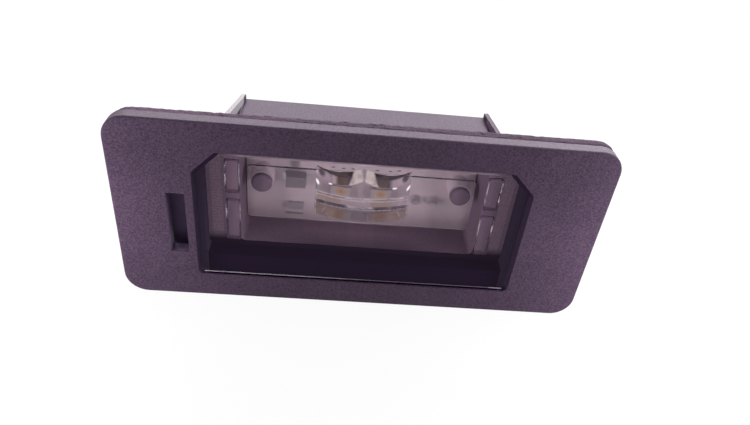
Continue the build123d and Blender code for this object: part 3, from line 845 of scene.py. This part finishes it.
# %% Build the plate
PLATE_HALF_MM, PLATE_LOW_MM, PLATE_HIGH_MM = 22.8, -6.6, 5.8
PLATE_BACK_MM = 6.7
PLATE_BROKEN_MM, PLATE_CORNER_MM = 0.16, 0.8
BOARD_FRONT_MM = 10.1
STAKE_X_MM, STAKE_Z_MM = 19.9, 2.2
SPACER_INNER_MM, SPACER_OUTER_MM = 1.35, 2.3

plate_height = (PLATE_HIGH_MM - PLATE_LOW_MM) / 2
plate_middle = (PLATE_HIGH_MM + PLATE_LOW_MM) / 2
front, back = PLATE_FRONT_MM, PLATE_BACK_MM
quarter = np.linspace(0, np.pi / 2, 6)
insets = PLATE_BROKEN_MM * (1 - np.concatenate((np.sin(quarter), np.cos(quarter))))
front_depths = front + PLATE_BROKEN_MM * (1 - np.cos(quarter))
plate_depths = np.concatenate((front_depths, back - PLATE_BROKEN_MM * (1 - np.sin(quarter))))
loops = np.stack(
    [rounded_outline(PLATE_HALF_MM - i, plate_height - i, PLATE_CORNER_MM - i, 8, 24) for i in insets]
)
plate_points = grid_points(loops[..., 0], plate_depths[:, None], loops[..., 1] + plate_middle)
plate_faces = capped_tube(*loops.shape[:2])
print("plate has", len(insets), "loops of", loops.shape[1], "points")


# %% Join and drill meshes
def bare_mesh(name, points_mm, faces):
    """A mesh object of these points that is only a helper, without material or body."""
    mesh = bpy.data.meshes.new(name)
    mesh.from_pydata((np.reshape(points_mm, (-1, 3)) * MM).tolist(), [], [list(map(int, f)) for f in faces])
    helper = bpy.data.objects.new(name, mesh)
    bpy.context.scene.collection.objects.link(helper)
    return helper


def combined(operation, first, second):
    """Points in millimetres and faces of the union or difference of two closed meshes; both helpers are taken
    away."""
    step = first.modifiers.new("step", "BOOLEAN")
    step.operation = operation
    step.solver = "EXACT"
    step.object = second
    seen_mesh = first.evaluated_get(bpy.context.evaluated_depsgraph_get()).data
    points = np.array([v.co[:] for v in seen_mesh.vertices]) / MM
    faces = [tuple(p.vertices) for p in seen_mesh.polygons]
    bpy.data.objects.remove(first)
    bpy.data.objects.remove(second)
    return points, faces


print("meshes can be joined and drilled")

# %% Join block and plate
DRILL_PAST_MM = 1.0

block_part = bare_mesh("block_part", block_points, block_faces)
plate_part = bare_mesh("plate_part", plate_points, plate_faces)
optic_points, optic_faces = combined("UNION", plate_part, block_part)
around = np.linspace(0, 2 * np.pi, 48, endpoint=False)
drill_depths = np.array([PLATE_BACK_MM + DRILL_PAST_MM, PLATE_FRONT_MM - DRILL_PAST_MM])[:, None]
for middle_x in (-STAKE_X_MM, STAKE_X_MM):
    across = middle_x + SPACER_INNER_MM * np.cos(around)
    upward = STAKE_Z_MM + SPACER_INNER_MM * np.sin(around)
    drill = bare_mesh("stake_drill", grid_points(across, drill_depths, upward), capped_tube(2, len(around)))
    undrilled = bare_mesh("optic_part", optic_points, optic_faces)
    optic_points, optic_faces = combined("DIFFERENCE", undrilled, drill)
optic = piece("light_optic", optic_points, optic_faces, optic_clear, 28.0)
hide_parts("inner_optic")

# %% Build the spacers
SPACER_PALE_GREY = (0.76, 0.64, 0.70, 1)
SPACER_PALE_WHITE = (0.84, 0.71, 0.77, 1)
SPACER_BROKEN_MM = 0.1

# painted light: the spacers are coloured a little paler than the board, which hides the shade on them
spacer_painted_light, shader, place = start("spacer_painted_light")
haze = speckle(place, 2.0, 2.0, 0.5)
drive(shader, Base_Color=blend(haze, SPACER_PALE_GREY, SPACER_PALE_WHITE), Roughness=0.5 + haze * 0.2)
wall = np.array(
    [
        (SPACER_INNER_MM, PLATE_BACK_MM),
        (SPACER_OUTER_MM - SPACER_BROKEN_MM, PLATE_BACK_MM),
        (SPACER_OUTER_MM, PLATE_BACK_MM + SPACER_BROKEN_MM),
        (SPACER_OUTER_MM, BOARD_FRONT_MM),
        (SPACER_INNER_MM, BOARD_FRONT_MM),
    ]
)
for side, middle_x in (("left", -STAKE_X_MM), ("right", STAKE_X_MM)):
    across = middle_x + np.cos(around)[:, None] * wall[:, 0]
    upward = STAKE_Z_MM + np.sin(around)[:, None] * wall[:, 0]
    spacer_points = grid_points(across, wall[:, 1], upward)
    spacer_faces = quads(len(around), len(wall), True)
    piece(f"optic_spacer_{side}", spacer_points, spacer_faces, spacer_painted_light)

# %% [markdown]
# ## Circuit board
# The board is coated with a pale solder mask that throws the light forwards. Under it the copper shows as
# faintly lighter fields, plated through holes are small dark dashes, and the weave of the glass cloth gives a
# very fine ripple. The holes and a dark bar below the resistor are drawn by distance from their places, and so
# is a painted reflection of the rectifier diode, a dark smear above it. The strip along the top is painted
# lighter for the light that reaches it, and the lower part and the ends are painted darker for their shade.

# %% Finish of the board
MASK_DARK = (0.710, 0.575, 0.625, 1)
MASK_LIGHT = (0.810, 0.660, 0.715, 1)
MASK_PAINTED_LIGHT = (0.98, 0.92, 0.99, 1)
MASK_LOW_SHADE = (0.56, 0.445, 0.47, 1)
MASK_EDGE_SHADE = (0.25, 0.18, 0.205, 1)
COPPER_WARM = (0.64, 0.43, 0.26, 1)
HOLE_AND_REFLECTION_DARK = (0.05, 0.04, 0.045, 1)
LIT_STRIP_MM, LOW_SHADE_MM = (5.2, 6.4), (-9.0, 6.0)
SHADE_BOTTOM_MM, SHADE_ENDS_MM = (-4.0, -8.6), (21.6, 23.4)
COPPER_FIELDS_MM = ((-7.0, -3.2, -6.5, -1.6), (1.8, 5.4, -6.5, -1.6))
VIAS_MM = ((-6.0, 4.25), (-3.9, 4.15), (-1.9, 4.2), (3.0, 4.25), (5.7, 4.3), (7.5, 4.5))
VIA_HALF_MM = (0.36, 0.14)
DARK_BAR_MM, DARK_BAR_HALF_MM = (-13.5, -7.3), (1.9, 0.24)
DIODE_REFLECTION_MM, REFLECTION_HALF_MM = (-13.75, 4.6), (1.2, 1.7)
WEAVE_PITCH_MM = 0.42

board_mask, shader, place = start("board_mask")
x, y, z = along_axes(place)
mottle = speckle(place, 0.6, 3.0, 0.6)
weave = (x * (2 * np.pi / WEAVE_PITCH_MM)).math("SINE") * (z * (2 * np.pi / WEAVE_PITCH_MM)).math("SINE")
marks = 0.0
# small dark dashes for the plated holes, and a dark bar below the resistor
for middle, halves in [(via, VIA_HALF_MM) for via in VIAS_MM] + [(DARK_BAR_MM, DARK_BAR_HALF_MM)]:
    marks = rise(oval(x, z, middle, halves, 4.0), 1.5, 0.7) + marks
# painted reflection: a soft dark smear above the rectifier diode
painted_reflection = rise(oval(x, z, DIODE_REFLECTION_MM, REFLECTION_HALF_MM), 1.2, 0.2) * 0.55
tone = rise(mottle, 0.3, 0.7)
copper = 0.0
for left, right, low, high in COPPER_FIELDS_MM:
    copper = within(x, left, right) * within(z, low, high) * (0.55 + mottle * 0.5) + copper
# painted light: the strip along the top of the board is painted much paler
mask = blend(rise(z, *LIT_STRIP_MM), blend(tone, MASK_DARK, MASK_LIGHT), MASK_PAINTED_LIGHT)
mask = blend(copper, mask, COPPER_WARM)
# painted shade: the board darkens towards the bottom, and darker again along the bottom edge and at the ends
mask = blend((1 - rise(z, *LOW_SHADE_MM)) * 0.6, mask, MASK_LOW_SHADE)
painted_lighting = rise(z, *SHADE_BOTTOM_MM) * 0.7 + rise(abs(x), *SHADE_ENDS_MM) * 0.5
mask = blend(painted_lighting, mask, MASK_EDGE_SHADE)
drive(
    shader,
    Base_Color=blend((marks * 0.75).math("MAXIMUM", painted_reflection), mask, HOLE_AND_REFLECTION_DARK),
    Roughness=0.42 + mottle * 0.2,
    Normal=bump(weave * 0.25 + 0.5 - marks * 0.5, 0.3, 0.06),
)
wear(board_mask, "circuit_board")
print("board dressed, with", len(VIAS_MM), "plated holes")

# %% [markdown]
# ## Parts on the board
# The diodes' cases are white plastic cups filled with a yellow phosphor. While it is unlit it looks pale at
# the rim and amber only in the middle, where the brown chip shines through. The rectifier is a block of matt
# epoxy with flat tinned feet, the resistor a ceramic chip under a dark glaze, the capacitor a chip of brown
# ceramic. A solder joint is grey at the crown and runs out pale at the foot.


# %% A finish for small parts
def mottled(name, dark, light, roughness, per_mm, relief_mm, metallic=0.0):
    """A finish that wanders between two colours, with its roughness and a shallow bump in step."""
    material, shader, place = start(name)
    fine = speckle(place, per_mm, 3.0, 0.6)
    drive(
        shader,
        Base_Color=blend(rise(fine, 0.3, 0.7), dark, light),
        Roughness=roughness - 0.06 + fine * 0.14,
        Normal=bump(fine, 0.5, relief_mm),
    )
    fix(shader, Metallic=metallic)
    return material


print("mottled finishes ready")

# %% Finish of the phosphor
LED_MIDDLE_MM = (3.4, 0.2)
CHIP_BROWN = (0.42, 0.25, 0.13, 1)
PHOSPHOR_AMBER = (0.74, 0.48, 0.28, 1)
PHOSPHOR_PALE = (0.74, 0.60, 0.55, 1)

phosphor, shader, place = start("led_phosphor")
x, y, z = along_axes(place)
fine = speckle(place, 2.0, 3.0, 0.6)
off_centre = oval(abs(x), z, LED_MIDDLE_MM).math("SQRT")
amber = blend(rise(off_centre, 0.50, 0.20) * 0.6, PHOSPHOR_AMBER, CHIP_BROWN)
drive(
    shader,
    Base_Color=blend(rise(off_centre + fine * 0.2, 0.75, 1.20), amber, PHOSPHOR_PALE),
    Roughness=0.30 + fine * 0.14,
    Normal=bump(fine, 0.5, 0.03),
)
wear(phosphor, "led_phosphor_left", "led_phosphor_right")
print("phosphor dressed")

# %% Finish of the solder joints
SOLDER_CROWNS_MM = ((11.6, -1.9), (15.0, -1.9))
SOLDER_GREY = (0.37, 0.295, 0.33, 1)
SOLDER_PALE = (0.66, 0.535, 0.585, 1)

solder, shader, place = start("solder")
x, y, z = along_axes(place)
fine = speckle(place, 2.0, 3.0, 0.6)
left, right = [oval(x, z, crown).math("SQRT") for crown in SOLDER_CROWNS_MM]
from_crown = left.math("MINIMUM", right)
drive(
    shader,
    Base_Color=blend(rise(from_crown + fine * 0.1, 0.65, 1.30), SOLDER_GREY, SOLDER_PALE),
    Roughness=0.74 + fine * 0.14,
    Normal=bump(fine, 0.5, 0.05),
)
fix(shader, Specular_IOR_Level=0.05)
wear(solder, "solder_joints")
print("solder joints dressed")

# %% Dress the other small parts
case_white = mottled("led_case", (0.62, 0.50, 0.50, 1), (0.70, 0.58, 0.56, 1), 0.40, 3.0, 0.02)
tin = mottled("tinned_metal", (0.48, 0.46, 0.48, 1), (0.62, 0.60, 0.62, 1), 0.38, 2.5, 0.02, 1.0)
epoxy = mottled("component_epoxy", (0.195, 0.160, 0.185, 1), (0.25, 0.21, 0.24, 1), 0.50, 4.0, 0.04)
glaze = mottled("resistor_glaze", (0.25, 0.20, 0.225, 1), (0.32, 0.265, 0.295, 1), 0.35, 1.2, 0.02)
ceramic = mottled("capacitor_ceramic", (0.16, 0.11, 0.07, 1), (0.21, 0.15, 0.10, 1), 0.42, 2.0, 0.02)
brass = mottled("contact_metal", (0.30, 0.27, 0.28, 1), (0.44, 0.40, 0.41, 1), 0.45, 1.5, 0.02, 1.0)
plated = mottled("plated_end", (0.27, 0.235, 0.26, 1), (0.36, 0.31, 0.34, 1), 0.5, 2.5, 0.02, 0.3)
wear(case_white, "led_package_left", "led_package_right")
wear(tin, "led_terminals_left", "led_terminals_right", "diode_feet")
wear(plated, "series_resistor_caps", "bypass_capacitor_caps")
wear(epoxy, "rectifier_diode")
wear(glaze, "series_resistor")
wear(ceramic, "bypass_capacitor")
wear(brass, "contact_left", "contact_right")
print("small parts dressed")

# %% [markdown]
# ## Floor and background
# The lamp stands on white paper. A camera sees the paper as white, and so do reflections and what is seen
# through clear plastic; the light that it throws back on the lamp is that of a duller grey, so that the
# lamp's underside stays dark. A little of the paper's own shading is left in, which is the lamp's soft
# shadow.

# %% Lay the floor
FLOOR_SIZE = 1.2

half = FLOOR_SIZE / 2
floor_height = cad_box[0][2]
floor_mesh = bpy.data.meshes.new("floor")
corners = [(-half, -half), (half, -half), (half, half), (-half, half)]
floor_mesh.from_pydata([(across, away, floor_height) for across, away in corners], [], [(0, 1, 2, 3)])
floor = bpy.data.objects.new("floor", floor_mesh)
bpy.context.scene.collection.objects.link(floor)
print("floor at", round(floor_height / MM, 2), "mm")


# %% Rays that are seen
def seen_rays(tree):
    """1 on rays from the camera, mirrored rays and rays through clear plastic; 0 on scattered light."""
    camera_ray = Signal(tree).add("ShaderNodeLightPath", out="Is Camera Ray")
    glossy = camera_ray.sibling("Is Glossy Ray")
    through = camera_ray.sibling("Is Transmission Ray")
    return camera_ray.math("MAXIMUM", glossy.math("MAXIMUM", through))


print("seen rays can be told from scattered ones")

# %% Finish of the paper
FLOOR_SHADE = 0.10
SHADOW_FADE_MM = (230.0, 90.0)
FLOOR_GREY = (0.06, 0.06, 0.06, 1)
FLOOR_WHITE = (0.92, 0.92, 0.92, 1)
PAPER_WHITE = (1, 1, 1, 1)

floor_paper, shader, place = start("floor_paper")
fibre = speckle(place, 0.4, 3.0, 0.6)
seen = seen_rays(floor_paper.node_tree)
drive(shader, Base_Color=blend(seen, FLOOR_GREY, FLOOR_WHITE), Roughness=0.85 + fibre * 0.1)
fix(shader, Specular_IOR_Level=0.1)
away = place.add("ShaderNodeVectorMath", {"operation": "LENGTH"}, {0: place}, out="Value")
white_share = seen * (1 - rise(away, *SHADOW_FADE_MM) * FLOOR_SHADE)
white = white_share.add("ShaderNodeEmission", inputs={"Color": PAPER_WHITE, "Strength": 1.0})
show(floor_paper, layered(white_share, result(shader), white))
floor_mesh.materials.append(floor_paper)
print("paper fades to white from", SHADOW_FADE_MM[1], "mm on")


# %% [markdown]
# ## Light
# A large softbox behind and above gives the upper faces their sheen, with a smaller one at each end of it for
# the flange's upper corners. One overhead at the right fills them, and a weak one in front shines through the
# cover. Two small ones close to the ends lift the ends of the flange; they only scatter, so that no mirror
# image of them lies on the plastic. Each is given by the brightness of its surface, so that moving or
# resizing one keeps what its reflection looks like.


# %% Hang the lamps
def softbox(name, place_mm, aim_mm, width_mm, height_mm, radiance, mirrored=True):
    """A lamp of this surface brightness; its power is brightness times pi times its area. One that isn't mirrored
    lights only matt surfaces and shows in no reflection."""
    lamp = bpy.data.lights.new(name, "AREA")
    lamp.shape = "RECTANGLE"
    lamp.size = width_mm * MM
    lamp.size_y = height_mm * MM
    lamp.energy = radiance * np.pi * lamp.size * lamp.size_y
    holder = bpy.data.objects.new(name, lamp)
    place = Vector(place_mm) * MM
    holder.location = place
    holder.rotation_euler = (Vector(aim_mm) * MM - place).to_track_quat("-Z", "Y").to_euler()
    holder.visible_camera = False
    holder.visible_glossy = mirrored
    holder.visible_transmission = mirrored
    bpy.context.scene.collection.objects.link(holder)
    print(name, "gives", round(lamp.energy, 3), "W")


softbox("back_softbox", (70, 240, 200), (0, 0, 0), 520, 240, 5.4)
softbox("left_rim_softbox", (-170, 235, 160), (-40, 0, 10), 140, 150, 3.0)
softbox("right_rim_softbox", (200, 235, 165), (40, 0, 10), 180, 160, 3.8)
softbox("top_softbox", (250, -20, 260), (0, 0, 0), 260, 260, 5.2)
softbox("front_softbox", (0, -380, 90), (0, 0, 0), 220, 220, 1.52)
softbox("left_softbox", (-72, -30, -2), (-48, 0, -3), 28, 38, 11.4, mirrored=False)
softbox("right_softbox", (72, -30, -4), (46, 0, -8), 28, 36, 12.0, mirrored=False)

# %% Light the sky
SKY_LIGHT = 0.07
SKY_WHITE = (1, 1, 1, 1)

world = bpy.data.worlds.new("sky")
bpy.context.scene.world = world
world.use_nodes = True
sky = world.node_tree
strength = seen_rays(sky) * (1 - SKY_LIGHT) + SKY_LIGHT
sky.links.new(strength.socket, sky.nodes["Background"].inputs["Strength"])
sky.nodes["Background"].inputs["Color"].default_value = SKY_WHITE
print("sky gives", SKY_LIGHT, "of what is seen of it")
